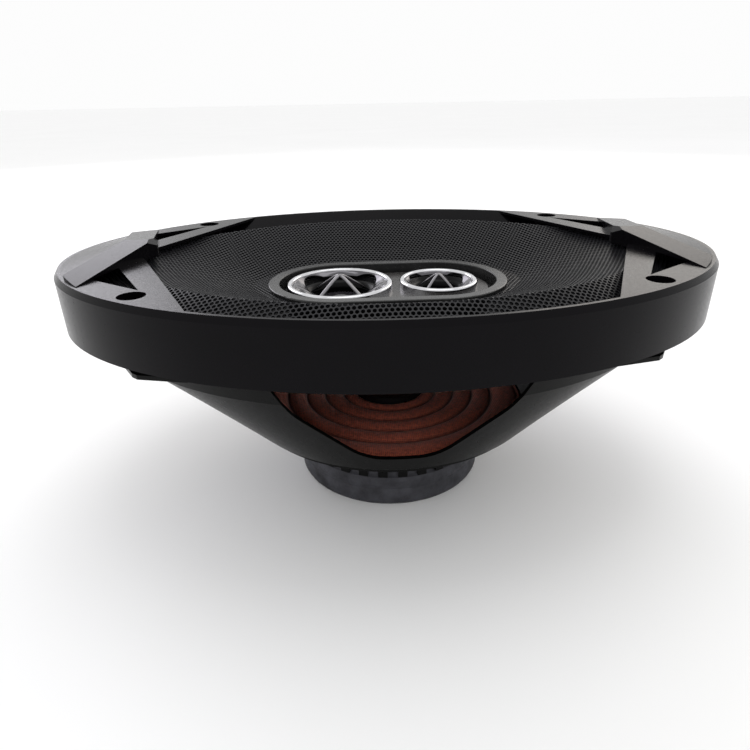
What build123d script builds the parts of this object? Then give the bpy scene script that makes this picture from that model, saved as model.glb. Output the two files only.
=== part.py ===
from build123d import *
import os
from math import cos, hypot, pi, radians, sin, tan

# Coaxial car speaker with an oval grille, a woofer and two tweeters.
# Frame: origin at the middle of the magnet boot's underside, +Z up through
# the voice coil, +X along the long axis of the oval. All sizes in millimetres.

# ---- grille ring ----
RIM_A, RIM_B = 124.0, 86.0          # half-length and half-width of the ring
RIM_TOP_Z = 96.0
RIM_BOTTOM_Z = 75.0
RIM_WALL = 2.5
RIM_CHAMFER_IN, RIM_CHAMFER_DOWN = 1.3, 2.0
BEZEL_A, BEZEL_B = 114.5, 76.5      # inner edge of the sloping bezel
BEZEL_Z = 89.0
RIB_A, RIB_B, RIB_WALL = 117.8, 79.8, 2.0

# ---- raised hubs, bars and struts at the two ends of the ring ----
CREST_RISE = 5.2                    # height of the hub's crest over the rim
BAR_FALL = 0.11                     # fall of the bars for each mm from the middle
END_RISE = 3.9                      # height of the coned end over the rim, at the crest
CREST_OUT_X = 101.5                 # outer end of the crest
PLATE_UNDER_Z = 94.8
NOSE = (89.2, 0.6)                  # inner tip of the hub
NOSE_RUN, NOSE_DROP = 3.0, 2.2
OPENING_HUB = (94.0, 5.0)           # straight edge of the opening, hub end
OPENING_RIM = (64.0, 67.0)          # straight edge of the opening, rim end
BAR_HUB = (91.5, 4.2)               # inner edge of a raised bar, hub end
BAR_RIM = (100.5, 38.5)             # inner edge of a raised bar, rim end
BAR_LENGTH = 85.0                   # long enough to pass through the rim
BAR_SKIN = 2.4                      # thickness of a bar over its triangular hole
STRUT_RISE = 2.2
TRIANGLE_OUT, TRIANGLE_HUB, TRIANGLE_RIM = (100.1, 37.0), (96.4, 23.0), (81.0, 50.5)
UNDERCUT = 6.0

# ---- fixing holes, shared by the grille and the basket ----
SCREW_X, SCREW_Y = 81.4, 56.0
SCREW_R = 2.3
COUNTERBORE_R, COUNTERBORE_DEPTH = 4.35, 6.0
BOSS_R = 5.5

# ---- mesh ----
MESH_T = 0.8
MESH_EDGE = (115.5, 77.5)
MESH_LIP = (89.0, 113.0, 75.0)      # (z, half-length, half-width)
MESH_CREASE = (94.2, 96.0, 65.6)
MESH_FLOOR = (81.7, 53.5, 32.5)

# ---- tweeter pod and its trim ring ----
TRIM_LENGTH, TRIM_WIDTH = 96.0, 57.0
TRIM_BAND = 4.5
TRIM_TOP_Z = 82.9
TRIM_COLLAR_Z = 77.5
COLLAR_WALL = 1.2
POD_LENGTH, POD_WIDTH = 81.0, 42.0
POD_BOTTOM_Z, POD_FLOOR_Z = 64.0, 66.0
POD_WALL = 1.8
DECK_UNDER_Z, DECK_Z = 78.0, 79.4
CAPACITOR_R, CAPACITOR_LENGTH = 3.3, 12.0

# ---- basket ----
FLANGE_A, FLANGE_B = 118.0, 80.5
FLANGE_UNDER_Z, FLANGE_Z = 72.0, 73.5
BOWL_OUTSIDE = [(73.5, 107.0, 75.0), (63.0, 103.0, 73.0), (33.0, 62.0, 62.0),
                (28.0, 55.0, 55.0), (18.8, 40.2, 40.2)]
BOWL_INSIDE = [(73.5, 105.5, 73.5), (63.0, 101.0, 71.3), (33.0, 60.0, 60.0),
               (28.0, 52.6, 52.6), (18.2, 38.7, 38.7)]
EAR = [(86.0, 44.0), (89.5, 53.5), (83.5, 62.7), (81.5, 64.4), (65.5, 68.0), (62.0, 62.0)]
WINDOW_CORNERS = [(41.5, 69.0), (35.0, 57.8), (12.5, 38.6)]     # right half, from the top
WINDOW_BEND_R = 18.0
SHELF_R_IN, SHELF_R_OUT = 48.5, 59.0
SHELF_UNDER_Z, SHELF_Z = 30.0, 31.4
SEAT_Z, SEAT_TOP_Z = 16.8, 18.2
SEAT_HOLE_R = 16.0
SKIRT_R, SKIRT_WALL, SKIRT_BOTTOM_Z, SKIRT_TOP_Z = 40.2, 1.5, 14.0, 18.8
NOTCH_COUNT, NOTCH_WIDTH, NOTCH_EXTRA, NOTCH_START_ANGLE = 32, 4.2, 0.4, -92.0
TAB_WIDTH, TAB_Y0, TAB_Y1, TAB_UNDER_Z, TAB_Z = 16.0, 62.6, 71.0, 37.0, 40.2

# ---- moving assembly ----
CONE_NECK_R, CONE_NECK_Z = 15.0, 36.0
CONE_A, CONE_B = 92.0, 60.0
CONE_T = 1.0
CONE_COLLAR_Z = 33.4
FORMER_R_IN, FORMER_R = 12.6, 13.0
FORMER_BOTTOM_Z, FORMER_TOP_Z = 10.6, 37.0
WINDING_R, WINDING_BOTTOM_Z, WINDING_TOP_Z = 13.7, 11.0, 19.0
DUST_RING_R_IN, DUST_RING_T = 5.0, 0.8
ROLL_A, ROLL_B, ROLL_R = 98.5, 66.5, 6.0
SURROUND_T = 0.6
LAND_INNER, LAND_OUTER = 9.3, 10.0
SPIDER_T = 0.6
SPIDER_Z = 31.4
SPIDER_PITCH, SPIDER_WAVES = 8.0, 4
SPIDER_R0, SPIDER_R = 18.0, 56.8
SPIDER_WAVE_HEIGHT = 1.7

# ---- motor ----
YOKE_BOTTOM_Z, YOKE_PLATE_Z = 1.0, 4.0
MOTOR_R = 36.0
POLE_R, POLE_TOP_Z, POLE_BORE_R = 12.0, 17.0, 2.6
MAGNET_R_IN, MAGNET_TOP_Z = 17.5, 13.0
GAP_R = 14.3
BOOT_R, BOOT_NECK_R, BOOT_R_IN = 39.5, 38.5, 36.1
BOOT_FLOOR_Z, BOOT_SHOULDER_Z, BOOT_TOP_Z = 1.0, 13.6, 15.6
BOOT_EDGE_R = 1.6
RIVET_CIRCLE_R, RIVET_R, RIVET_HEAD_R, RIVET_HEAD_H = 27.0, 1.5, 2.6, 1.1
RIVET_BOTTOM_Z = 14.5

# ---- post that carries the pod ----
POST_R, POST_STUD_R, POST_BORE_R = 3.5, 2.5, 1.3
POST_FOOT_R, POST_FOOT_T = 8.0, 2.0
POST_STUD_BOTTOM_Z, POST_TOP_Z = 8.0, 70.0
NUT_R, NUT_H = 4.6, 3.0

# ---- terminals ----
BOARD_WIDTH, BOARD_Y0, BOARD_Y1, BOARD_T = 26.0, 56.5, 74.0, 1.6
TERMINAL_X, BLADE_SHIFT = 8.0, 1.2
BLADE_HOLE_R, BLADE_HOLE_INSET = 0.9, 4.0
POSITIVE_WIDTH, NEGATIVE_WIDTH, BLADE_T = 6.3, 4.8, 0.8
BLADE_Y0, BLADE_Y1 = 57.5, 81.0
TERMINAL_RIVET_Y, TERMINAL_RIVET_SPACING = 66.0, 8.0
TERMINAL_RIVET_R, TERMINAL_RIVET_HEAD_R, TERMINAL_RIVET_HEAD_H = 1.2, 1.8, 0.7
LEAD_R = 0.5

os.makedirs("parts", exist_ok=True)


def save(builder, name):
    """Label a finished piece and write it as one STEP file."""
    builder.part.label = name
    export_step(builder.part, f"parts/{name}.step")


def oval(z, half_x, half_y):
    """A flat ellipse at height z, for lofts."""
    with BuildSketch(Plane.XY.offset(z), mode=Mode.PRIVATE) as section:
        Ellipse(half_x, half_y)
    return section.sketch


def frustum(low, high, mode=Mode.ADD):
    """Loft straight walls between two ovals, each (z, half_x, half_y)."""
    loft(sections=[oval(*low), oval(*high)], ruled=True, mode=mode)


def oval_prism(z_low, z_high, half_x, half_y, mode=Mode.ADD):
    """Upright oval slab between two heights."""
    extrude(oval(z_low, half_x, half_y), amount=z_high - z_low, mode=mode)


def slot_prism(z_low, z_high, length, width, mode=Mode.ADD):
    """Upright slab with two straight sides and two round ends."""
    with BuildSketch(Plane.XY.offset(z_low), mode=Mode.PRIVATE) as section:
        SlotOverall(length, width)
    extrude(section.sketch, amount=z_high - z_low, mode=mode)


def ring(z_low, z_high, r_out, r_in, mode=Mode.ADD):
    """Upright round ring, or a disc where r_in is 0."""
    with BuildSketch(Plane.XY.offset(z_low), mode=Mode.PRIVATE) as section:
        Circle(r_out)
        if r_in > 0:
            Circle(r_in, mode=Mode.SUBTRACT)
    extrude(section.sketch, amount=z_high - z_low, mode=mode)


def revolved(points):
    """Turn a closed profile of (r, z) points about the Z axis."""
    with BuildSketch(Plane.XZ, mode=Mode.PRIVATE) as section:
        with BuildLine():
            Polyline(*points, close=True)
        make_face()
    revolve(section.sketch, axis=Axis.Z)


def at_screws():
    """The four fixing points, centred on the axis."""
    return GridLocations(2 * SCREW_X, 2 * SCREW_Y, 2, 2)


# ================= grille =================
CREST_Z = RIM_TOP_Z + CREST_RISE
DOME_A, DOME_B = RIM_A - RIM_WALL, RIM_B - RIM_WALL
FAR = 140.0                         # well outside the ring

bar_run = hypot(BAR_RIM[0] - BAR_HUB[0], BAR_RIM[1] - BAR_HUB[1])
bar_dir = ((BAR_RIM[0] - BAR_HUB[0]) / bar_run, (BAR_RIM[1] - BAR_HUB[1]) / bar_run)


def along(start, direction, distance):
    """The plan point at a distance from a start point."""
    return (start[0] + distance * direction[0], start[1] + distance * direction[1])


def mirrored_outline(points):
    """Close a plan outline with its mirror image below the X axis."""
    Polyline(*points, *[(x, -y) for x, y in reversed(points) if y > 0], close=True)


# Coned end of the ring on a thin plate, outside the bars' inner edges.
with BuildPart() as coned_end:
    oval_prism(PLATE_UNDER_Z, RIM_TOP_Z, DOME_A, DOME_B)
    shrink = 1 - 2 * (1 - CREST_OUT_X / DOME_A)
    frustum((RIM_TOP_Z, DOME_A, DOME_B),
            (RIM_TOP_Z + 2 * END_RISE, DOME_A * shrink, DOME_B * shrink))
    with BuildSketch(Plane.XY.offset(PLATE_UNDER_Z)):
        with BuildLine():
            mirrored_outline([NOSE, BAR_HUB, along(BAR_HUB, bar_dir, BAR_LENGTH),
                              (FAR, BAR_LENGTH)])
        make_face()
    extrude(amount=3 * CREST_RISE, mode=Mode.INTERSECT)

# Two raised bars that meet at the crest, with the coned end behind them: all of it
# lies under a roof that falls to both sides, and the nose slopes.
with BuildPart() as raised_end:
    with BuildSketch(Plane.XY.offset(PLATE_UNDER_Z)):
        with BuildLine():
            mirrored_outline([NOSE, BAR_HUB, along(BAR_HUB, bar_dir, BAR_LENGTH),
                              along((CREST_OUT_X, 0), bar_dir, BAR_LENGTH), (CREST_OUT_X, 0)])
        make_face()
        Ellipse(DOME_A, DOME_B, mode=Mode.INTERSECT)
    extrude(amount=3 * CREST_RISE)
    add(coned_end.part)
    with BuildSketch(Plane.YZ):
        with BuildLine():
            Polyline((-FAR / 2, 0), (-FAR / 2, CREST_Z - BAR_FALL * FAR / 2), (0, CREST_Z),
                     (FAR / 2, CREST_Z - BAR_FALL * FAR / 2), (FAR / 2, 0), close=True)
        make_face()
    extrude(amount=FAR, mode=Mode.INTERSECT)
    with BuildSketch(Plane.XZ):
        with BuildLine():
            Polyline((NOSE[0], 0), (NOSE[0], CREST_Z - NOSE_DROP), (NOSE[0] + NOSE_RUN, CREST_Z),
                     (FAR, CREST_Z), (FAR, 0), close=True)
        make_face()
    extrude(amount=FAR, both=True, mode=Mode.INTERSECT)

# One strut: a flat facet from the opening's straight edge to the triangular hole,
# highest at the hub and level with the rim at the hole's far corner.
opening_run = hypot(OPENING_HUB[0] - OPENING_RIM[0], OPENING_RIM[1] - OPENING_HUB[1])
opening_dir = ((OPENING_RIM[0] - OPENING_HUB[0]) / opening_run,
               (OPENING_RIM[1] - OPENING_HUB[1]) / opening_run)
strut_run = ((TRIANGLE_RIM[0] - OPENING_HUB[0]) * opening_dir[0]
             + (TRIANGLE_RIM[1] - OPENING_HUB[1]) * opening_dir[1])
with BuildPart() as strut:
    with BuildSketch(Plane.XY.offset(PLATE_UNDER_Z)):
        with BuildLine():
            Polyline(OPENING_HUB, along(OPENING_HUB, opening_dir, strut_run), TRIANGLE_RIM,
                     TRIANGLE_HUB, along(TRIANGLE_HUB, bar_dir, -18.0), close=True)
        make_face()
    extrude(amount=2 * CREST_RISE)
    strut_plane = Plane(origin=(*OPENING_HUB, 0), x_dir=(*opening_dir, 0),
                        z_dir=(opening_dir[1], -opening_dir[0], 0))
    with BuildSketch(strut_plane):
        with BuildLine():
            Polyline((-FAR, PLATE_UNDER_Z), (-FAR, RIM_TOP_Z + STRUT_RISE * (1 + FAR / strut_run)),
                     (strut_run, RIM_TOP_Z), (strut_run, PLATE_UNDER_Z), close=True)
        make_face()
    extrude(amount=FAR, both=True, mode=Mode.INTERSECT)

# One whole end, with the two triangular holes and a hollow under each bar beside them.
with BuildPart() as grille_end:
    with BuildSketch(Plane.XY.offset(PLATE_UNDER_Z)):
        Ellipse(DOME_A, DOME_B)
        with BuildLine():
            mirrored_outline([NOSE, OPENING_HUB, along(OPENING_HUB, opening_dir, FAR), (FAR, FAR)])
        make_face(mode=Mode.INTERSECT)
    extrude(amount=RIM_TOP_Z - PLATE_UNDER_Z)
    add(strut.part)
    mirror(strut.part, about=Plane.XZ)
    add(raised_end.part)
    out_of_bar = (bar_dir[1], -bar_dir[0])
    for side in (1, -1):
        with BuildSketch(Plane.XY.offset(PLATE_UNDER_Z - 1)):
            with BuildLine():
                Polyline(*[(x, side * y) for x, y in (TRIANGLE_OUT, TRIANGLE_HUB, TRIANGLE_RIM)],
                         close=True)
            make_face()
        extrude(amount=3 * CREST_RISE, mode=Mode.SUBTRACT)
        hollow_z = CREST_Z - BAR_FALL * TRIANGLE_HUB[1] - BAR_SKIN
        hollow = [TRIANGLE_OUT, TRIANGLE_HUB, along(TRIANGLE_HUB, out_of_bar, UNDERCUT),
                  along(TRIANGLE_OUT, out_of_bar, UNDERCUT)]
        with BuildSketch(Plane.XY.offset(PLATE_UNDER_Z - 1)):
            with BuildLine():
                Polyline(*[(x, side * y) for x, y in hollow], close=True)
            make_face()
        extrude(amount=hollow_z - PLATE_UNDER_Z + 1, mode=Mode.SUBTRACT)

with BuildPart() as grille_frame:
    # wall, with a chamfered top edge
    oval_prism(RIM_BOTTOM_Z, RIM_TOP_Z - RIM_CHAMFER_DOWN, RIM_A, RIM_B)
    frustum((RIM_TOP_Z - RIM_CHAMFER_DOWN, RIM_A, RIM_B),
            (RIM_TOP_Z, RIM_A - RIM_CHAMFER_IN, RIM_B - RIM_CHAMFER_IN))
    oval_prism(RIM_BOTTOM_Z, BEZEL_Z, DOME_A, DOME_B, mode=Mode.SUBTRACT)
    # bezel that falls inwards to the mesh
    frustum((BEZEL_Z, BEZEL_A, BEZEL_B), (RIM_TOP_Z, DOME_A, DOME_B), mode=Mode.SUBTRACT)
    # inner rib that presses on the gasket
    with BuildSketch(Plane.XY.offset(RIM_BOTTOM_Z)):
        Ellipse(RIB_A, RIB_B)
        Ellipse(RIB_A - RIB_WALL, RIB_B - RIB_WALL, mode=Mode.SUBTRACT)
    extrude(amount=BEZEL_Z - RIM_BOTTOM_Z)
    # the two ends
    add(grille_end.part)
    mirror(grille_end.part, about=Plane.YZ)
    # bosses and counterbored holes for the fixing screws
    with BuildSketch(Plane.XY.offset(FLANGE_Z)):
        with at_screws():
            Circle(BOSS_R)
    extrude(amount=RIM_TOP_Z - FLANGE_Z)
    with BuildSketch(Plane.XY.offset(FLANGE_Z)):
        with at_screws():
            Circle(SCREW_R)
    extrude(amount=2 * RIM_TOP_Z, mode=Mode.SUBTRACT)
    with BuildSketch(Plane.XY.offset(RIM_TOP_Z - COUNTERBORE_DEPTH)):
        with at_screws():
            Circle(COUNTERBORE_R)
    extrude(amount=3 * COUNTERBORE_DEPTH, mode=Mode.SUBTRACT)
save(grille_frame, "grille_frame")


def lowered(section, drop):
    """The same oval section, a little lower."""
    return (section[0] - drop, section[1], section[2])


# The mesh is a raised oval crease with a lip outside it and a dish inside.
with BuildPart() as grille_mesh:
    oval_prism(MESH_LIP[0] - MESH_T, MESH_LIP[0], *MESH_EDGE)
    frustum(MESH_LIP, MESH_CREASE)
    frustum(lowered(MESH_LIP, MESH_T), lowered(MESH_CREASE, MESH_T), mode=Mode.SUBTRACT)
    frustum(lowered(MESH_FLOOR, MESH_T), lowered(MESH_CREASE, MESH_T))
    frustum(MESH_FLOOR, MESH_CREASE, mode=Mode.SUBTRACT)
    slot_prism(MESH_FLOOR[0] - 2, MESH_FLOOR[0] + 2, TRIM_LENGTH - 2 * TRIM_BAND + 2 * COLLAR_WALL,
               TRIM_WIDTH - 2 * TRIM_BAND + 2 * COLLAR_WALL, mode=Mode.SUBTRACT)
    # clearance around the screw bosses
    with BuildSketch(Plane.XY.offset(MESH_LIP[0] - 2)):
        with at_screws():
            Circle(BOSS_R + 0.5)
    extrude(amount=8, mode=Mode.SUBTRACT)
save(grille_mesh, "grille_mesh")

# ================= tweeter pod =================
TRIM_IN_LENGTH, TRIM_IN_WIDTH = TRIM_LENGTH - 2 * TRIM_BAND, TRIM_WIDTH - 2 * TRIM_BAND

with BuildPart() as grille_trim_ring:
    slot_prism(MESH_FLOOR[0], TRIM_TOP_Z, TRIM_LENGTH, TRIM_WIDTH)
    slot_prism(TRIM_COLLAR_Z, MESH_FLOOR[0], TRIM_IN_LENGTH + 2 * COLLAR_WALL,
               TRIM_IN_WIDTH + 2 * COLLAR_WALL)
    slot_prism(TRIM_COLLAR_Z, TRIM_TOP_Z, TRIM_IN_LENGTH, TRIM_IN_WIDTH, mode=Mode.SUBTRACT)
    fillet(grille_trim_ring.edges().group_by(Axis.Z)[-1], radius=0.5)
save(grille_trim_ring, "grille_trim_ring")

with BuildPart() as pod_housing:
    slot_prism(POD_BOTTOM_Z, DECK_UNDER_Z, POD_LENGTH, POD_WIDTH)
    slot_prism(POD_FLOOR_Z, DECK_UNDER_Z, POD_LENGTH - 2 * POD_WALL, POD_WIDTH - 2 * POD_WALL,
               mode=Mode.SUBTRACT)
    ring(POD_BOTTOM_Z, POD_FLOOR_Z, POST_STUD_R + 0.1, 0, mode=Mode.SUBTRACT)
    fillet(pod_housing.edges().group_by(Axis.Z)[0].filter_by(GeomType.CIRCLE).sort_by(
        SortBy.LENGTH)[-2:], radius=1.5)
save(pod_housing, "pod_housing")

with BuildPart() as crossover_capacitors:
    for y in (-12.0, 12.0):
        with BuildSketch(Plane(origin=(-4.0, y, POD_FLOOR_Z + CAPACITOR_R + 0.1), z_dir=(1, 0, 0))):
            Circle(CAPACITOR_R)
        extrude(amount=CAPACITOR_LENGTH)
save(crossover_capacitors, "crossover_capacitors")

# Each tweeter: name, centre x and the outer radius of its bright ring.
TWEETERS = [("large_tweeter", -19.4, 21.3), ("small_tweeter", 20.5, 15.8)]
BEZEL_BAND = 2.4
BEZEL_TOP_Z = 82.3

with BuildPart() as pod_deck:
    slot_prism(DECK_UNDER_Z, DECK_Z, POD_LENGTH, POD_WIDTH)
    for name, x, r in TWEETERS:
        with BuildSketch(Plane.XY.offset(DECK_UNDER_Z)):
            with Locations((x, 0)):
                Circle(r - 1.5 * BEZEL_BAND)
        extrude(amount=DECK_Z - DECK_UNDER_Z, mode=Mode.SUBTRACT)
save(pod_deck, "pod_deck")

# radii on the large tweeter
THROAT, FRAME_OUT, FRAME_IN = 12.5, 13.5, 10.4
CUP_R, CUP_IN, POLE_PLATE_R, DISC_R = 9.0, 7.8, 6.1, 5.6
SKIRT_IN, SKIRT_OUT, COIL_R, DOME_R = 6.6, 6.9, 7.25, 7.0
# heights, the same on both
CUP_FLOOR_Z, DISC_TOP_Z, CUP_TOP_Z = 67.5, 70.9, 72.4
DOME_SKIRT_Z, COIL_BOTTOM_Z, COIL_TOP_Z = 69.8, 70.2, 73.0
FRAME_BOTTOM_Z, FRAME_STEP_Z = 71.0, 72.2
EDGE_Z, EDGE_T = 74.0, 0.2
HORN_UNDER_Z, HORN_THROAT_Z, HORN_LIP_DROP = 76.6, 77.6, 0.7
DOME_RISE, DOME_T, DOME_LAP = 2.6, 0.35, 0.3
APEX_RISE, FOOT_Z, FOOT_OVER = 3.0, 78.3, 0.8
ARM_WIDTH, ARM_DEPTH = 1.7, 1.6
FIT = 0.05                          # clearance between neighbouring rings


def build_tweeter(name, x, ring_r):
    """All the pieces of one tweeter, scaled from the large one and moved to x."""
    s = ring_r / TWEETERS[0][2]
    place = Location((x, 0, 0))

    def finish(builder, piece):
        moved = place * builder.part
        moved.label = f"{name}_{piece}"
        export_step(moved, f"parts/{name}_{piece}.step")

    with BuildPart() as bezel:
        ring(DECK_Z, BEZEL_TOP_Z, ring_r, ring_r - BEZEL_BAND)
        fillet(bezel.edges().group_by(Axis.Z)[-1], radius=0.8)
    finish(bezel, "bezel")

    lip_r = ring_r - BEZEL_BAND - FIT
    deck_r = ring_r - 1.5 * BEZEL_BAND - FIT
    with BuildPart() as waveguide:
        revolved([(lip_r, DECK_Z), (lip_r, BEZEL_TOP_Z - HORN_LIP_DROP), (THROAT * s, HORN_THROAT_Z),
                  (THROAT * s, EDGE_Z + EDGE_T), (FRAME_OUT * s, EDGE_Z + EDGE_T),
                  (FRAME_OUT * s, HORN_UNDER_Z), (deck_r, DECK_UNDER_Z), (deck_r, DECK_Z)])
    finish(waveguide, "waveguide")

    with BuildPart() as diffuser:
        apex_z = BEZEL_TOP_Z + APEX_RISE * s
        foot_r, foot_under_z = (THROAT + FOOT_OVER) * s, FOOT_Z - ARM_DEPTH * 0.4
        for turn in (45, 135):
            arm_plane = Plane(origin=(0, 0, 0), x_dir=(cos(radians(turn)), sin(radians(turn)), 0),
                              z_dir=(sin(radians(turn)), -cos(radians(turn)), 0))
            with BuildSketch(arm_plane):
                with BuildLine():
                    Polyline((-foot_r, FOOT_Z), (0, apex_z), (foot_r, FOOT_Z),
                             (THROAT * s - FIT, foot_under_z), (0, apex_z - ARM_DEPTH),
                             (FIT - THROAT * s, foot_under_z), close=True)
                make_face()
            extrude(amount=ARM_WIDTH * s / 2, both=True)
    finish(diffuser, "diffuser")

    with BuildPart() as frame:
        ring(FRAME_BOTTOM_Z, FRAME_STEP_Z, FRAME_OUT * s, CUP_R * s)
        ring(FRAME_STEP_Z, EDGE_Z, FRAME_OUT * s, FRAME_IN * s)
    finish(frame, "frame")

    height = DOME_RISE * s
    sphere_r = (height ** 2 + (DOME_R * s) ** 2) / (2 * height)
    centre_z = EDGE_Z + height - sphere_r
    with BuildPart() as dome:
        with Locations((0, 0, centre_z)):
            Sphere(sphere_r)
            Sphere(sphere_r - DOME_T, mode=Mode.SUBTRACT)
        split(bisect_by=Plane.XY.offset(EDGE_Z), keep=Keep.TOP)
        ring(DOME_SKIRT_Z, EDGE_Z + DOME_LAP, SKIRT_OUT * s, SKIRT_IN * s)
    finish(dome, "dome")

    with BuildPart() as dome_edge:
        ring(EDGE_Z, EDGE_Z + EDGE_T, (THROAT + FOOT_OVER / 2) * s, (DOME_R + FIT) * s)
    finish(dome_edge, "dome_edge")

    with BuildPart() as coil:
        ring(COIL_BOTTOM_Z, COIL_TOP_Z, COIL_R * s, SKIRT_OUT * s)
    finish(coil, "coil")

    with BuildPart() as pole_plate:
        ring(DISC_TOP_Z, CUP_TOP_Z, POLE_PLATE_R * s, 0)
    finish(pole_plate, "pole_plate")

    with BuildPart() as disc_magnet:
        ring(CUP_FLOOR_Z, DISC_TOP_Z, DISC_R * s, 0)
    finish(disc_magnet, "magnet")

    with BuildPart() as cup:
        ring(POD_FLOOR_Z, CUP_TOP_Z, CUP_R * s, 0)
        ring(CUP_FLOOR_Z, CUP_TOP_Z, CUP_IN * s, 0, mode=Mode.SUBTRACT)
    finish(cup, "cup")


for tweeter in TWEETERS:
    build_tweeter(*tweeter)

# ================= basket =================
with BuildPart() as basket:
    for upper, lower in zip(BOWL_OUTSIDE, BOWL_OUTSIDE[1:]):
        frustum(lower, upper)
    for upper, lower in zip(BOWL_INSIDE, BOWL_INSIDE[1:]):
        frustum(lower, upper, mode=Mode.SUBTRACT)
    # flange with a wide ear at each fixing hole
    with BuildSketch(Plane.XY.offset(FLANGE_UNDER_Z)) as flange:
        Ellipse(FLANGE_A, FLANGE_B)
        for sx in (1, -1):
            for sy in (1, -1):
                with BuildLine():
                    Polyline(*[(sx * x, sy * y) for x, y in EAR], close=True)
                make_face()
        Ellipse(BOWL_INSIDE[0][1], BOWL_INSIDE[0][2], mode=Mode.SUBTRACT)
        with at_screws():
            Circle(SCREW_R, mode=Mode.SUBTRACT)
    extrude(amount=FLANGE_Z - FLANGE_UNDER_Z)
    # one large window with a rounded bottom in the front and one in the back
    with BuildSketch(Plane.XZ) as window:
        with BuildLine():
            Polyline(*WINDOW_CORNERS, *[(-x, z) for x, z in reversed(WINDOW_CORNERS)], close=True)
        make_face()
        fillet(window.vertices().sort_by(Axis.Y)[:4], radius=WINDOW_BEND_R)
    extrude(amount=FAR, both=True, mode=Mode.SUBTRACT)
    # shelf for the spider, seat for the motor
    ring(SHELF_UNDER_Z, SHELF_Z, SHELF_R_OUT, SHELF_R_IN)
    ring(SEAT_Z, SEAT_TOP_Z, SKIRT_R, SEAT_HOLE_R)
    # notched skirt that grips the boot
    ring(SKIRT_BOTTOM_Z, SKIRT_TOP_Z, SKIRT_R, SKIRT_R - SKIRT_WALL)
    with BuildSketch(Plane.XY.offset(SKIRT_BOTTOM_Z)):
        with PolarLocations(SKIRT_R, NOTCH_COUNT, start_angle=NOTCH_START_ANGLE):
            Rectangle(2 * SKIRT_WALL + 1, NOTCH_WIDTH)
        Circle(SKIRT_R - SKIRT_WALL - NOTCH_EXTRA, mode=Mode.SUBTRACT)
    extrude(amount=SKIRT_TOP_Z - SKIRT_BOTTOM_Z, mode=Mode.SUBTRACT)
    with BuildSketch(Plane.XY.offset(SEAT_Z)):
        with PolarLocations(RIVET_CIRCLE_R, 4, start_angle=45):
            Circle(RIVET_R)
    extrude(amount=SEAT_TOP_Z - SEAT_Z, mode=Mode.SUBTRACT)
    # tab on the rear sill that carries the terminal board
    with BuildSketch(Plane.XY.offset(TAB_UNDER_Z)):
        with Locations((0, (TAB_Y0 + TAB_Y1) / 2)):
            Rectangle(TAB_WIDTH, TAB_Y1 - TAB_Y0)
    extrude(amount=TAB_Z - TAB_UNDER_Z)
    with BuildSketch(Plane.XY.offset(TAB_UNDER_Z)):
        with Locations((0, TERMINAL_RIVET_Y)):
            with GridLocations(TERMINAL_RIVET_SPACING, 1, 2, 1):
                Circle(TERMINAL_RIVET_R)
    extrude(amount=TAB_Z - TAB_UNDER_Z, mode=Mode.SUBTRACT)
save(basket, "basket")

with BuildPart() as gasket_strips:
    with BuildSketch(Plane.XY.offset(FLANGE_Z)):
        Ellipse(FLANGE_A - 0.2, FLANGE_B - 0.3)
        Ellipse(ROLL_A + LAND_OUTER + 0.6, ROLL_B + LAND_OUTER + 0.6, mode=Mode.SUBTRACT)
        with at_screws():
            Circle(BOSS_R + 0.5, mode=Mode.SUBTRACT)
    extrude(amount=RIM_BOTTOM_Z - FLANGE_Z)
save(gasket_strips, "gasket_strips")

# ================= moving assembly =================
with BuildPart() as cone:
    frustum((CONE_NECK_Z, CONE_NECK_R, CONE_NECK_R), (FLANGE_Z, CONE_A, CONE_B))
    ring(CONE_COLLAR_Z, CONE_NECK_Z + CONE_T, CONE_NECK_R, 0)
    frustum((CONE_NECK_Z + CONE_T, CONE_NECK_R, CONE_NECK_R), (FLANGE_Z + CONE_T, CONE_A, CONE_B),
            mode=Mode.SUBTRACT)
    ring(CONE_COLLAR_Z, CONE_NECK_Z + 2 * CONE_T, FORMER_R, 0, mode=Mode.SUBTRACT)
save(cone, "cone")

with BuildPart() as surround:
    with BuildSketch(Plane(origin=(ROLL_A, 0, FLANGE_Z), x_dir=(1, 0, 0), z_dir=(0, -1, 0))):
        Circle(ROLL_R)
        Circle(ROLL_R - SURROUND_T, mode=Mode.SUBTRACT)
        with Locations((0, -ROLL_R)):
            Rectangle(4 * ROLL_R, 2 * ROLL_R, mode=Mode.SUBTRACT)
        with Locations((-LAND_INNER, 0)):
            Rectangle(LAND_INNER - ROLL_R + SURROUND_T, SURROUND_T, align=(Align.MIN, Align.MIN))
        with Locations((ROLL_R - SURROUND_T, 0)):
            Rectangle(LAND_OUTER - ROLL_R + SURROUND_T, SURROUND_T, align=(Align.MIN, Align.MIN))
    sweep(path=oval(FLANGE_Z, ROLL_A, ROLL_B).edge())
    with BuildSketch(Plane.XY.offset(FLANGE_Z - 1)):
        with at_screws():
            Circle(BOSS_R + 0.5)
    extrude(amount=4, mode=Mode.SUBTRACT)
save(surround, "surround")


def wave_line(z):
    """Corrugated line from the neck to the flat rim, starting at height z."""
    Line((FORMER_R, z), (SPIDER_R0, z))
    for i in range(SPIDER_WAVES):
        r = SPIDER_R0 + i * SPIDER_PITCH
        half = SPIDER_PITCH / 2
        ThreePointArc((r, z), (r + half / 2, z - SPIDER_WAVE_HEIGHT * 0.5), (r + half, z))
        ThreePointArc((r + half, z), (r + 1.5 * half, z + SPIDER_WAVE_HEIGHT), (r + 2 * half, z))
    Line((SPIDER_R0 + SPIDER_WAVES * SPIDER_PITCH, z), (SPIDER_R, z))


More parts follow.
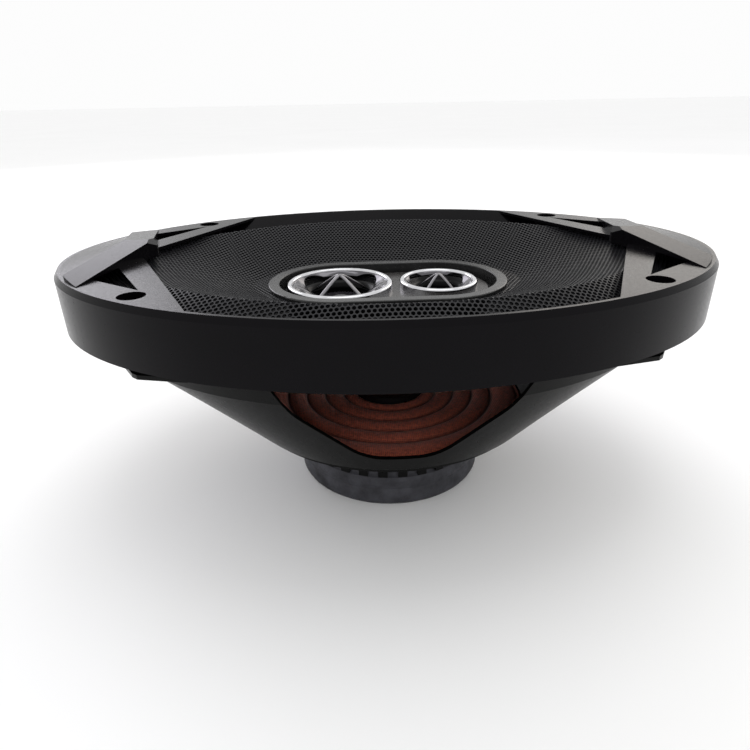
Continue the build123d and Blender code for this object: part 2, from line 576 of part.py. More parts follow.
with BuildPart() as spider:
    with BuildSketch(Plane.XZ):
        with BuildLine():
            wave_line(SPIDER_Z)
            wave_line(SPIDER_Z + SPIDER_T)
            Line((FORMER_R, SPIDER_Z), (FORMER_R, SPIDER_Z + SPIDER_T))
            Line((SPIDER_R, SPIDER_Z), (SPIDER_R, SPIDER_Z + SPIDER_T))
        make_face()
    revolve(axis=Axis.Z)
save(spider, "spider")

with BuildPart() as voice_coil_former:
    ring(FORMER_BOTTOM_Z, FORMER_TOP_Z, FORMER_R, FORMER_R_IN)
save(voice_coil_former, "voice_coil_former")

with BuildPart() as voice_coil_winding:
    ring(WINDING_BOTTOM_Z, WINDING_TOP_Z, WINDING_R, FORMER_R)
save(voice_coil_winding, "voice_coil_winding")

with BuildPart() as dust_ring:
    ring(FORMER_TOP_Z, FORMER_TOP_Z + DUST_RING_T, CONE_NECK_R - 0.3, DUST_RING_R_IN)
save(dust_ring, "dust_ring")

# ================= motor =================
with BuildPart() as t_yoke:
    ring(YOKE_BOTTOM_Z, YOKE_PLATE_Z, MOTOR_R, POLE_BORE_R)
    ring(YOKE_PLATE_Z, POLE_TOP_Z, POLE_R, POLE_BORE_R)
    chamfer(t_yoke.edges().group_by(Axis.Z)[-1].sort_by(SortBy.LENGTH)[-1], length=0.6)
save(t_yoke, "t_yoke")

with BuildPart() as magnet:
    ring(YOKE_PLATE_Z, MAGNET_TOP_Z, MOTOR_R, MAGNET_R_IN)
save(magnet, "magnet")

with BuildPart() as top_plate:
    ring(MAGNET_TOP_Z, SEAT_Z, MOTOR_R, GAP_R)
    with BuildSketch(Plane.XY.offset(RIVET_BOTTOM_Z)):
        with PolarLocations(RIVET_CIRCLE_R, 4, start_angle=45):
            Circle(RIVET_R)
    extrude(amount=SEAT_Z - RIVET_BOTTOM_Z, mode=Mode.SUBTRACT)
save(top_plate, "top_plate")

with BuildPart() as motor_rivets:
    with BuildSketch(Plane.XY.offset(RIVET_BOTTOM_Z)):
        with PolarLocations(RIVET_CIRCLE_R, 4, start_angle=45):
            Circle(RIVET_R)
    extrude(amount=SEAT_TOP_Z - RIVET_BOTTOM_Z)
    with BuildSketch(Plane.XY.offset(SEAT_TOP_Z)):
        with PolarLocations(RIVET_CIRCLE_R, 4, start_angle=45):
            Circle(RIVET_HEAD_R)
    extrude(amount=RIVET_HEAD_H)
save(motor_rivets, "motor_rivets")

with BuildPart() as magnet_boot:
    ring(0, BOOT_SHOULDER_Z, BOOT_R, 0)
    fillet(magnet_boot.edges().group_by(Axis.Z)[0], radius=BOOT_EDGE_R)
    fillet(magnet_boot.edges().group_by(Axis.Z)[-1], radius=BOOT_R - BOOT_NECK_R - 0.1)
    ring(BOOT_SHOULDER_Z, BOOT_TOP_Z, BOOT_NECK_R, 0)
    ring(BOOT_FLOOR_Z, BOOT_TOP_Z, BOOT_R_IN, 0, mode=Mode.SUBTRACT)
save(magnet_boot, "magnet_boot")

with BuildPart() as tweeter_post:
    ring(POST_STUD_BOTTOM_Z, POLE_TOP_Z, POST_STUD_R, 0)
    ring(POLE_TOP_Z, POLE_TOP_Z + POST_FOOT_T, POST_FOOT_R, 0)
    ring(POLE_TOP_Z + POST_FOOT_T, POD_BOTTOM_Z, POST_R, 0)
    ring(POD_BOTTOM_Z, POST_TOP_Z, POST_STUD_R, 0)
    ring(POST_STUD_BOTTOM_Z, POST_TOP_Z, POST_BORE_R, 0, mode=Mode.SUBTRACT)
save(tweeter_post, "tweeter_post")

with BuildPart() as post_nut:
    with BuildSketch(Plane.XY.offset(POD_FLOOR_Z)):
        RegularPolygon(NUT_R, 6)
        Circle(POST_STUD_R + 0.05, mode=Mode.SUBTRACT)
    extrude(amount=NUT_H)
save(post_nut, "post_nut")

# ================= terminals =================
BOARD_Z = TAB_Z + BOARD_T

with BuildPart() as terminal_board:
    with BuildSketch(Plane.XY.offset(TAB_Z)):
        with Locations((0, (BOARD_Y0 + BOARD_Y1) / 2)):
            RectangleRounded(BOARD_WIDTH, BOARD_Y1 - BOARD_Y0, 1.5)
        with Locations((0, TERMINAL_RIVET_Y)):
            with GridLocations(TERMINAL_RIVET_SPACING, 1, 2, 1):
                Circle(TERMINAL_RIVET_R, mode=Mode.SUBTRACT)
    extrude(amount=BOARD_T)
save(terminal_board, "terminal_board")

with BuildPart() as terminal_rivets:
    for z_low, z_high, r in ((TAB_UNDER_Z, BOARD_Z, TERMINAL_RIVET_R),
                             (BOARD_Z, BOARD_Z + TERMINAL_RIVET_HEAD_H, TERMINAL_RIVET_HEAD_R)):
        with BuildSketch(Plane.XY.offset(z_low)):
            with Locations((0, TERMINAL_RIVET_Y)):
                with GridLocations(TERMINAL_RIVET_SPACING, 1, 2, 1):
                    Circle(r)
        extrude(amount=z_high - z_low)
save(terminal_rivets, "terminal_rivets")

for name, x, width in (("terminal_positive", TERMINAL_X + BLADE_SHIFT, POSITIVE_WIDTH),
                       ("terminal_negative", -TERMINAL_X - BLADE_SHIFT, NEGATIVE_WIDTH)):
    with BuildPart() as blade:
        with BuildSketch(Plane.XY.offset(BOARD_Z)):
            with Locations((x, (BLADE_Y0 + BLADE_Y1) / 2)):
                Rectangle(width, BLADE_Y1 - BLADE_Y0)
            with Locations((x, BLADE_Y1 - BLADE_HOLE_INSET)):
                Circle(BLADE_HOLE_R, mode=Mode.SUBTRACT)
        extrude(amount=BLADE_T)
        chamfer(blade.edges().filter_by(Axis.Z).group_by(Axis.Y)[-1], length=1.2)
    save(blade, name)


def lead_radii(points):
    """Bend radius for each inner corner, as large as its two runs allow."""
    radii = []
    for before, corner, after in zip(points, points[1:], points[2:]):
        run_in = Vector(*corner) - Vector(*before)
        run_out = Vector(*after) - Vector(*corner)
        half_turn = radians(run_in.get_angle(run_out)) / 2
        radii.append(0.45 * min(run_in.length, run_out.length) / tan(half_turn))
    return radii


# Braided leads from the blades' inner ends to the underside of the cone.
LEAD_START_Z = BOARD_Z + BLADE_T + LEAD_R
for name, x in (("tinsel_lead_positive", TERMINAL_X), ("tinsel_lead_negative", -TERMINAL_X)):
    route = [(x, 61.0, LEAD_START_Z), (x, 54.0, LEAD_START_Z), (x, 47.0, LEAD_START_Z + 1.4),
             (x, 40.0, LEAD_START_Z + 0.4), (x, 33.2, LEAD_START_Z + 0.8),
             (x, 27.4, LEAD_START_Z + 2.8)]
    radii = lead_radii(route)
    print(name, "bend radii", [round(r, 1) for r in radii])
    with BuildPart() as lead:
        with BuildLine() as lead_path:
            FilletPolyline(*route, radius=radii)
        with BuildSketch(Plane(origin=route[0], z_dir=(0, -1, 0))):
            Circle(LEAD_R)
        sweep()
    print(name, "volume", round(lead.part.volume, 3), "section x length",
          round(pi * LEAD_R ** 2 * lead_path.wires()[0].length, 3))
    save(lead, name)
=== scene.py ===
import bmesh
import bpy
import numpy as np
from math import cos, pi, radians, sin, sqrt
from mathutils import Matrix, Vector


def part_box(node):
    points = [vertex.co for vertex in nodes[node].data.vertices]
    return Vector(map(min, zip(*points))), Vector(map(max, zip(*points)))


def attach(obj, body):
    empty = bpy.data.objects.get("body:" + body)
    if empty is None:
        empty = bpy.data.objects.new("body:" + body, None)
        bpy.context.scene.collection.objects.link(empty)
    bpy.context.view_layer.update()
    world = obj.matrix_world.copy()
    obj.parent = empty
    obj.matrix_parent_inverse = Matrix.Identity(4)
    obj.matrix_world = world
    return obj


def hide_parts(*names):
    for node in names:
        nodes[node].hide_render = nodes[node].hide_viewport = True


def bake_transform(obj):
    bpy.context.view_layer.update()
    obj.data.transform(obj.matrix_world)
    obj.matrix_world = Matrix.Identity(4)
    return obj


# Coaxial car speaker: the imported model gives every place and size, in metres.
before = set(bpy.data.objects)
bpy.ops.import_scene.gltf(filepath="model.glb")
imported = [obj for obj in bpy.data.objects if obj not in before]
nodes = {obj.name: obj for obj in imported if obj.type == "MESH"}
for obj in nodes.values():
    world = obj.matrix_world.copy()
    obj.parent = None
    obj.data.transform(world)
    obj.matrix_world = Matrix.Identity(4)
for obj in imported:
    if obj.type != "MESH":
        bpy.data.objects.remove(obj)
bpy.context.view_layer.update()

SCENE = bpy.context.scene


# ---------------------------------------------------------------- materials
def shader(name):
    """An empty node material: its tree, its Principled shader and object coordinates."""
    material = bpy.data.materials.new(name)
    material.use_nodes = True
    tree = material.node_tree
    surface = tree.nodes["Principled BSDF"]
    place = tree.nodes.new("ShaderNodeTexCoord")
    return material, tree, surface, place.outputs["Object"]


def noise(tree, place, size, detail=4.0, rough=0.55):
    """Noise whose features are about size metres across."""
    node = tree.nodes.new("ShaderNodeTexNoise")
    node.inputs["Scale"].default_value = 1.0 / size
    node.inputs["Detail"].default_value = detail
    node.inputs["Roughness"].default_value = rough
    tree.links.new(place, node.inputs["Vector"])
    return node.outputs["Fac"]


def spread(tree, value, low, high, from_low=0.3, from_high=0.7):
    """The value stretched to a range."""
    node = tree.nodes.new("ShaderNodeMapRange")
    node.inputs["From Min"].default_value = from_low
    node.inputs["From Max"].default_value = from_high
    node.inputs["To Min"].default_value = low
    node.inputs["To Max"].default_value = high
    tree.links.new(value, node.inputs["Value"])
    return node.outputs["Result"]


def ramp(tree, value, stops):
    """Colours by value; stops are (position, (r, g, b))."""
    node = tree.nodes.new("ShaderNodeValToRGB")
    band = node.color_ramp
    while len(band.elements) < len(stops):
        band.elements.new(0.5)
    for element, (position, colour) in zip(band.elements, stops):
        element.position = position
        element.color = (*colour, 1.0)
    tree.links.new(value, node.inputs["Fac"])
    return node.outputs["Color"]


def bump(tree, surface, height, distance, strength=1.0):
    """Bump on the shader; a second call adds to the first."""
    node = tree.nodes.new("ShaderNodeBump")
    node.inputs["Distance"].default_value = distance
    node.inputs["Strength"].default_value = strength
    tree.links.new(height, node.inputs["Height"])
    socket = surface.inputs["Normal"]
    if socket.is_linked:
        tree.links.new(socket.links[0].from_socket, node.inputs["Normal"])
    tree.links.new(node.outputs["Normal"], socket)


def scaled(colour, factor):
    """A lighter or darker colour."""
    return tuple(min(1.0, c * factor) for c in colour)


GLOSS_SPOT = 0.0012       # size of the uneven patches in a surface's gloss


def moulded(name, colour, low, high, grain=0.00035, depth=0.00002, gloss=0.25, change=0.12,
            patch=0.012):
    """Moulded plastic, paint or rubber: fine grain, uneven gloss and slightly uneven colour."""
    material, tree, surface, place = shader(name)
    cloud = noise(tree, place, patch, 6.0)
    tone = ramp(tree, cloud, [(0.3, scaled(colour, 1 - change)), (0.7, scaled(colour, 1 + change))])
    tree.links.new(tone, surface.inputs["Base Color"])
    tree.links.new(spread(tree, noise(tree, place, GLOSS_SPOT, 6.0), low, high),
                   surface.inputs["Roughness"])
    surface.inputs["Specular IOR Level"].default_value = gloss
    bump(tree, surface, noise(tree, place, grain, 2.0), depth)
    return material


def multiplied(tree, first, second):
    """Two colours multiplied."""
    node = tree.nodes.new("ShaderNodeMix")
    node.data_type = "RGBA"
    node.blend_type = "MULTIPLY"
    node.inputs["Factor"].default_value = 1.0
    tree.links.new(first, node.inputs["A"])
    tree.links.new(second, node.inputs["B"])
    return node.outputs["Result"]


def painted_groove_shade(tree, place, radii, half_width, reach, dark):
    """White, with a dark line of painted shade at each radius about the vertical axis."""
    flat = tree.nodes.new("ShaderNodeVectorMath")
    flat.operation = "MULTIPLY"
    flat.inputs[1].default_value = (1.0 / reach, 1.0 / reach, 0.0)
    tree.links.new(place, flat.inputs[0])
    length = tree.nodes.new("ShaderNodeVectorMath")
    length.operation = "LENGTH"
    tree.links.new(flat.outputs["Vector"], length.inputs[0])
    node = tree.nodes.new("ShaderNodeValToRGB")
    band = node.color_ramp
    for element in band.elements:
        element.color = (1.0, 1.0, 1.0, 1.0)
    for radius in radii:
        for offset, level in ((-half_width, 1.0), (0.0, dark), (half_width, 1.0)):
            element = band.elements.new((radius + offset) / reach)
            element.color = (level, level, level, 1.0)
    tree.links.new(length.outputs["Value"], node.inputs["Fac"])
    return node.outputs["Color"]


GROOVES = (0.020, 0.028, 0.036, 0.044)      # radii of the spider's grooves
# half width and level of the painted shade, with some dirt, along each groove
GROOVE_HALF_WIDTH, GROOVE_PAINTED_SHADE = 0.0012, 0.22
SPIDER_REACH = 0.060                        # just past the spider's rim
BANDS_PER_METRE = 0.314                     # scale of a wave texture with one band a metre


def cloth(name, colour, period=0.0007, speck=0.0011, relief=0.00012):
    """Open woven cloth stiffened with resin, with painted shade and some dirt darkening its
    grooves.
    """
    material, tree, surface, place = shader(name)
    threads = []
    for axis in ("X", "Y"):
        wave = tree.nodes.new("ShaderNodeTexWave")
        wave.bands_direction = axis
        wave.inputs["Scale"].default_value = BANDS_PER_METRE / period
        wave.inputs["Distortion"].default_value = 0.6
        tree.links.new(place, wave.inputs["Vector"])
        threads.append(wave.outputs["Fac"])
    weave = tree.nodes.new("ShaderNodeMath")
    weave.operation = "MAXIMUM"
    tree.links.new(threads[0], weave.inputs[0])
    tree.links.new(threads[1], weave.inputs[1])
    cloud = noise(tree, place, speck, 4.0, 0.6)
    tone = ramp(tree, cloud, [(0.32, scaled(colour, 0.70)), (0.68, scaled(colour, 1.30))])
    threads_tone = ramp(tree, weave.outputs[0],
                        [(0.15, (0.45, 0.40, 0.40)), (0.85, (1.0, 1.0, 1.0))])
    # dark rings of painted shade, with some dirt, down in the grooves between the rolls
    grooves = painted_groove_shade(tree, place, GROOVES, GROOVE_HALF_WIDTH, SPIDER_REACH, GROOVE_PAINTED_SHADE)
    tree.links.new(multiplied(tree, multiplied(tree, tone, threads_tone), grooves),
                   surface.inputs["Base Color"])
    tree.links.new(spread(tree, noise(tree, place, GLOSS_SPOT, 3.0), 0.62, 0.9),
                   surface.inputs["Roughness"])
    surface.inputs["Sheen Weight"].default_value = 0.25
    surface.inputs["Sheen Roughness"].default_value = 0.45
    bump(tree, surface, weave.outputs[0], relief)
    return material


# the first is the size of blotches in the metals' base colour, a painted reflection standing in for
# smudgy reflections
PAINTED_REFLECTION_PATCH, MARK, MARK_DEPTH = 0.004, 0.0015, 0.000008      # on metal


def metal(name, colour, low, high, brush=None):
    """Plated or bare metal; brush scales the fine marks along each axis."""
    material, tree, surface, place = shader(name)
    surface.inputs["Metallic"].default_value = 1.0
    # blotchy base colour: painted reflection patches
    tone = ramp(tree, noise(tree, place, PAINTED_REFLECTION_PATCH, 6.0),
                [(0.3, scaled(colour, 0.88)), (0.7, scaled(colour, 1.06))])
    tree.links.new(tone, surface.inputs["Base Color"])
    marks = place
    if brush:
        squeeze = tree.nodes.new("ShaderNodeMapping")
        squeeze.inputs["Scale"].default_value = brush
        tree.links.new(place, squeeze.inputs["Vector"])
        marks = squeeze.outputs["Vector"]
    tree.links.new(spread(tree, noise(tree, marks, MARK, 8.0), low, high),
                   surface.inputs["Roughness"])
    bump(tree, surface, noise(tree, marks, 0.0008, 4.0), MARK_DEPTH)
    return material


M = {
    "grille": moulded("satin_grille_plastic", (0.0022, 0.0018, 0.0026), 0.20, 0.28, gloss=0.08),
    "trim": moulded("satin_trim_plastic", (0.018, 0.018, 0.018), 0.20, 0.30, gloss=0.36),
    "mesh": moulded("mesh_powder_coat", (0.011, 0.011, 0.013), 0.34, 0.44, 0.0002, 0.000012,
                    gloss=0.2),
    "basket": moulded("basket_paint", (0.0026, 0.0027, 0.0026), 0.26, 0.36, 0.0005, 0.00002,
                      gloss=0.10),
    "rubber": moulded("surround_rubber", (0.018, 0.018, 0.019), 0.50, 0.66, 0.0004, 0.00002),
    "cone": moulded("cone_pulp", (0.008, 0.008, 0.009), 0.34, 0.50, 0.0009, 0.00010, gloss=0.3),
    "foam": moulded("foam_strip", (0.022, 0.022, 0.022), 0.85, 0.97, 0.0006, 0.00015),
    "felt": moulded("felt_ring", (0.014, 0.014, 0.015), 0.88, 0.98, 0.0003, 0.00010),
    "spider": cloth("spider_cloth", (0.66, 0.150, 0.085)),
    "boot": moulded("boot_rubber", (0.040, 0.040, 0.047), 0.50, 0.70, 0.0008, 0.00010, change=0.55,
                    patch=0.008),
    "pod": moulded("pod_plastic", (0.004, 0.004, 0.0045), 0.26, 0.36, gloss=0.15),
    "horn": moulded("horn_plastic", (0.0014, 0.0014, 0.0016), 0.12, 0.22, gloss=0.08),
    "deck": moulded("deck_plastic", (0.030, 0.028, 0.027), 0.24, 0.32, gloss=0.35),
    "chrome": metal("bright_chrome", (0.66, 0.66, 0.68), 0.05, 0.12),
    "silver": metal("metallised_plastic", (0.115, 0.112, 0.12), 0.08, 0.22),
    "bar": metal("satin_bar_plastic", (0.22, 0.215, 0.225), 0.28, 0.40),
    "steel": metal("zinc_plate", (0.56, 0.57, 0.58), 0.26, 0.44),
    "black_steel": metal("black_passivated_steel", (0.050, 0.052, 0.056), 0.34, 0.5),
    "ferrite": moulded("ferrite", (0.050, 0.050, 0.055), 0.55, 0.75, 0.0006, 0.00005),
    "copper": metal("coil_copper", (0.72, 0.30, 0.12), 0.22, 0.38, (1.0, 1.0, 14.0)),
    "foil": metal("former_foil", (0.66, 0.63, 0.56), 0.25, 0.4),
    "film": moulded("dome_film", (0.022, 0.020, 0.024), 0.16, 0.30, 0.0006, 0.00001, gloss=0.5),
    "sleeve": moulded("capacitor_sleeve", (0.018, 0.026, 0.060), 0.22, 0.34, 0.0009, 0.00001),
    "board": moulded("phenolic_board", (0.150, 0.085, 0.045), 0.34, 0.52, 0.0005, 0.00003,
                     gloss=0.4),
    "tin": metal("tinned_blade", (0.78, 0.74, 0.62), 0.18, 0.32),
    "braid": metal("tinsel_braid", (0.74, 0.46, 0.28), 0.28, 0.44),
}

CAD_MATERIALS = {
    "grille_frame": "grille", "grille_trim_ring": "trim", "grille_mesh": "mesh",
    "pod_housing": "pod", "pod_deck": "deck", "basket": "basket", "gasket_strips": "foam",
    "surround": "rubber", "cone": "cone", "spider": "spider", "dust_ring": "felt",
    "voice_coil_former": "foil", "voice_coil_winding": "copper", "top_plate": "black_steel",
    "magnet": "ferrite", "t_yoke": "black_steel", "magnet_boot": "boot",
    "motor_rivets": "black_steel", "tweeter_post": "steel", "post_nut": "steel",
    "crossover_capacitors": "sleeve",
    "terminal_board": "board", "terminal_positive": "tin", "terminal_negative": "tin",
    "terminal_rivets": "steel", "tinsel_lead_positive": "braid", "tinsel_lead_negative": "braid",
}
TWEETER_MATERIALS = {
    "bezel": "chrome", "waveguide": "silver", "diffuser": "bar", "frame": "pod",
    "dome": "film", "dome_edge": "film", "coil": "copper", "pole_plate": "steel",
    "magnet": "ferrite", "cup": "steel",
}
for tweeter in ("large_tweeter", "small_tweeter"):
    for ending, key in TWEETER_MATERIALS.items():
        CAD_MATERIALS[f"{tweeter}_{ending}"] = key

for node, key in CAD_MATERIALS.items():
    nodes[node].data.materials.clear()
    nodes[node].data.materials.append(M[key])


# ---------------------------------------------------------------- mesh helpers
def piece(name, verts, faces, material, smooth=True):
    """A new mesh object from points in metres."""
    mesh = bpy.data.meshes.new(name)
    mesh.from_pydata([tuple(v) for v in verts], [], faces)
    mesh.validate()
    mesh.update()
    mesh.materials.append(material)
    if smooth:
        mesh.shade_smooth()
    obj = bpy.data.objects.new(name, mesh)
    SCENE.collection.objects.link(obj)
    return obj


def rings_to_piece(name, rings, material):
    """A closed surface through rings of points, each ring closed on itself."""
    count = len(rings[0])
    verts = [point for one in rings for point in one]
    faces = []
    for i in range(len(rings)):
        j = (i + 1) % len(rings)
        for k in range(count):
            n = (k + 1) % count
            faces.append((i * count + k, i * count + n, j * count + n, j * count + k))
    return piece(name, verts, faces, material)


def add_tube_faces(faces, offset, rings, sides):
    """Faces of a tube through rings of points that start at offset, with its two ends closed."""
    for n in range(rings - 1):
        for k in range(sides):
            m = (k + 1) % sides
            a = offset + n * sides
            faces.append((a + k, a + m, a + sides + m, a + sides + k))
    faces.append(tuple(offset + k for k in reversed(range(sides))))
    faces.append(tuple(offset + (rings - 1) * sides + k for k in range(sides)))


def turned(name, profile, material, count, x=0.0):
    """A closed (r, z) profile in metres turned about a vertical axis at x."""
    rings = [[(x + r * cos(2 * pi * k / count), r * sin(2 * pi * k / count), z)
              for k in range(count)] for r, z in profile]
    return rings_to_piece(name, rings, material)


def weld(obj):
    """Join the points that lie on each other, as at the middle of a turned disc."""
    edit = bmesh.new()
    edit.from_mesh(obj.data)
    bmesh.ops.remove_doubles(edit, verts=edit.verts, dist=1e-7)
    edit.to_mesh(obj.data)
    edit.free()


def apply_modifiers(obj):
    """Replace the object's mesh by what its modifiers make of it."""
    graph = bpy.context.evaluated_depsgraph_get()
    made = bpy.data.meshes.new_from_object(obj.evaluated_get(graph))
    obj.modifiers.clear()
    obj.data = made


def radial_blend(obj, r_fixed, r_moving):
    """Lay a ring-shaped piece's points out by their share of the way from r_fixed to r_moving,
    bake the object's placing into them, then put the points back where they were."""
    rest = [v.co.copy() for v in obj.data.vertices]
    for vertex, co in zip(obj.data.vertices, rest):
        share = (r_fixed(co) - co.xy.length) / (r_fixed(co) - r_moving(co))
        vertex.co = (share, 0.0, 0.0)
    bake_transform(obj)
    for vertex, co in zip(obj.data.vertices, rest):
        vertex.co = co


# ---------------------------------------------------------------- grille mesh
MESH_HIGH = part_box("grille_mesh")[1]
TRIM_LOW, TRIM_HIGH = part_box("grille_trim_ring")
MESH_THICKNESS = 0.0006
HOLE_PITCH = 0.00170
HOLE_RADIUS = 0.00067
MESH_LIP_Z, MESH_FLOOR_Z = MESH_HIGH.z - 0.0052, TRIM_LOW.z + 0.0042
# (half-length, half-width, z) from the rim inwards
MESH_SECTIONS = [(MESH_HIGH.x - 0.0006, MESH_HIGH.y - 0.0006, MESH_LIP_Z),
                 (0.1130, 0.0750, MESH_LIP_Z), (0.0960, 0.0656, MESH_HIGH.z),
                 (0.0535, 0.0325, MESH_FLOOR_Z), (0.0300, 0.0150, MESH_FLOOR_Z)]
HALVINGS = 24             # of the search for a point's share of the way between two sections


def mesh_height(x, y):
    """Height of the mesh's top over each point: straight slopes from one oval to the next."""
    placed = np.zeros(x.shape, dtype=bool)
    height = np.full(x.shape, MESH_SECTIONS[-1][2])
    for (a0, b0, z0), (a1, b1, z1) in zip(MESH_SECTIONS, MESH_SECTIONS[1:]):
        low, high = np.zeros(x.shape), np.ones(x.shape)
        for _ in range(HALVINGS):
            t = (low + high) / 2
            outside = (x / (a0 + (a1 - a0) * t)) ** 2 + (y / (b0 + (b1 - b0) * t)) ** 2 > 1
            high = np.where(outside, t, high)
            low = np.where(outside, low, t)
        inside = (x / a0) ** 2 + (y / b0) ** 2 <= 1
        outside = (x / a1) ** 2 + (y / b1) ** 2 > 1
        in_band = inside & outside & ~placed
        height = np.where(in_band, z0 + (z1 - z0) * t, height)
        placed |= in_band
    return height


def build_grille_mesh():
    """Punched sheet: a lattice of twelve-sided holes laid over the dish."""
    edge, under_trim = 0.0008, 0.0032
    half_x, half_y = MESH_HIGH.x - edge, MESH_HIGH.y - edge
    slot_half = TRIM_HIGH.x - TRIM_HIGH.y
    slot_r = TRIM_HIGH.y - under_trim
    row_step = HOLE_PITCH * sqrt(3) / 2
    rows, columns = int(half_y / row_step) + 1, int(half_x / HOLE_PITCH) + 1
    index = {}
    centres = []
    for j in range(-rows, rows + 1):
        for i in range(-columns, columns + 1):
            x = (i + 0.5 * (j % 2)) * HOLE_PITCH
            y = j * row_step
            if (x / half_x) ** 2 + (y / half_y) ** 2 > 1:
                continue
            past = max(abs(x) - slot_half, 0.0)
            if past ** 2 + y ** 2 < slot_r ** 2:
                continue
            index[(i, j)] = len(centres)
            centres.append((x, y))
    corners = [(HOLE_RADIUS * cos(radians(15 + 30 * k)), HOLE_RADIUS * sin(radians(15 + 30 * k)))
               for k in range(12)]
    flat = np.array([(x + dx, y + dy) for x, y in centres for dx, dy in corners])
    height = mesh_height(flat[:, 0], flat[:, 1])
    verts = np.column_stack([flat, height])

    faces = []
    for (i, j), a in index.items():
        shift = j % 2
        east = index.get((i + 1, j))
        north_east = index.get((i + shift, j + 1))
        north_west = index.get((i + shift - 1, j + 1))
        # webs between neighbours: the side that faces each one, east to north-west
        for other, side in ((east, 0), (north_east, 2), (north_west, 4)):
            if other is None:
                continue
            back = side + 6
            faces.append((12 * a + (side - 1) % 12, 12 * other + back % 12,
                          12 * other + (back - 1) % 12, 12 * a + side % 12))
        # patches between three holes
        if east is not None and north_east is not None:
            faces.append((12 * a, 12 * east + 5, 12 * east + 4, 12 * north_east + 9,
                          12 * north_east + 8, 12 * a + 1))
        if north_east is not None and north_west is not None:
            faces.append((12 * a + 2, 12 * north_east + 7, 12 * north_east + 6,
                          12 * north_west + 11, 12 * north_west + 10, 12 * a + 3))
    sheet = piece("perforated_mesh", verts, faces, M["mesh"], smooth=False)
    solid = sheet.modifiers.new("thickness", "SOLIDIFY")
    solid.thickness = MESH_THICKNESS
    solid.offset = -1.0
    apply_modifiers(sheet)
    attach(sheet, "root")
    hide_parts("grille_mesh")


build_grille_mesh()


# ---------------------------------------------------------------- spider
SPIDER_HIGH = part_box("spider")[1]
FORMER_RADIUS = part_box("voice_coil_former")[1].x
SPIDER_THICKNESS, ROLL_HEIGHT = 0.0005, 0.00178


def build_spider():
    """Corrugated cloth disc: round rolls between narrow grooves, the last one wider."""
    groove, pitch = GROOVES[0], GROOVES[1] - GROOVES[0]
    wide_from, wide_to = GROOVES[-1], 0.0552
    inner, outer = FORMER_RADIUS + 0.0001, SPIDER_HIGH.x - 0.0002
    neck_run = 0.003
    base = SPIDER_HIGH.z - 0.0023
    top = []
    steps, count = 180, 192
    for n in range(steps + 1):
        r = inner + (outer - inner) * n / steps
        lift = 0.0
        if r < wide_from:
            lift = ROLL_HEIGHT * abs(sin(pi * (r - groove) / pitch)) ** 0.5
            lift *= min(1.0, (r - inner) / neck_run)
        elif r < wide_to:
            lift = ROLL_HEIGHT * sin(pi * (r - wide_from) / (wide_to - wide_from)) ** 0.6
        top.append((r, base + SPIDER_THICKNESS + lift))
    under = [(r, z - SPIDER_THICKNESS) for r, z in reversed(top)]
    disc = turned("spider_disc", top + under, M["spider"], count)
    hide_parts("spider")
    radial_blend(disc, lambda co: wide_to, lambda co: inner)


build_spider()


# ---------------------------------------------------------------- surround
SURROUND_LOW, SURROUND_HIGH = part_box("surround")


def build_surround():
    """Half-roll of rubber on an oval, with its glued lands."""
    roll = 0.006
    land_out, land_in = 0.0100, 0.0092
    middle_x, middle_y = SURROUND_HIGH.x - land_out, SURROUND_HIGH.y - land_out
    base = SURROUND_LOW.z
    thick = 0.0006
    outer_line = [(-land_in, thick), (-roll - thick, thick)]
    inner_line = [(land_out, 0.0), (roll + 0.0002, 0.0)]
    steps = 20
    for n in range(steps + 1):
        turn = pi * (1 - n / steps)
        outer_line.append((roll * cos(turn), max(thick, roll * sin(turn))))
        inner_line.append((-(roll - thick) * cos(turn), (roll - thick) * sin(turn)))
    outer_line += [(land_out, thick)]
    inner_line += [(-land_in, 0.0)]
    profile = outer_line + inner_line
    count = 256
    rings = []
    for u, w in profile:
        ring = []
        for k in range(count):
            turn = 2 * pi * k / count
            along = Vector((cos(turn) / middle_x, sin(turn) / middle_y)).normalized()
            ring.append((middle_x * cos(turn) + u * along.x,
                         middle_y * sin(turn) + u * along.y, base + w))
        rings.append(ring)
    roll_piece = rings_to_piece("surround_roll", rings, M["rubber"])
    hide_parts("surround")

    def oval_radius(co, offset):
        a, b = middle_x + offset, middle_y + offset
        turn = co.xy.normalized()
        return 1.0 / sqrt((turn.x / a) ** 2 + (turn.y / b) ** 2)

    radial_blend(roll_piece, lambda co: oval_radius(co, roll), lambda co: oval_radius(co, -roll))


build_surround()


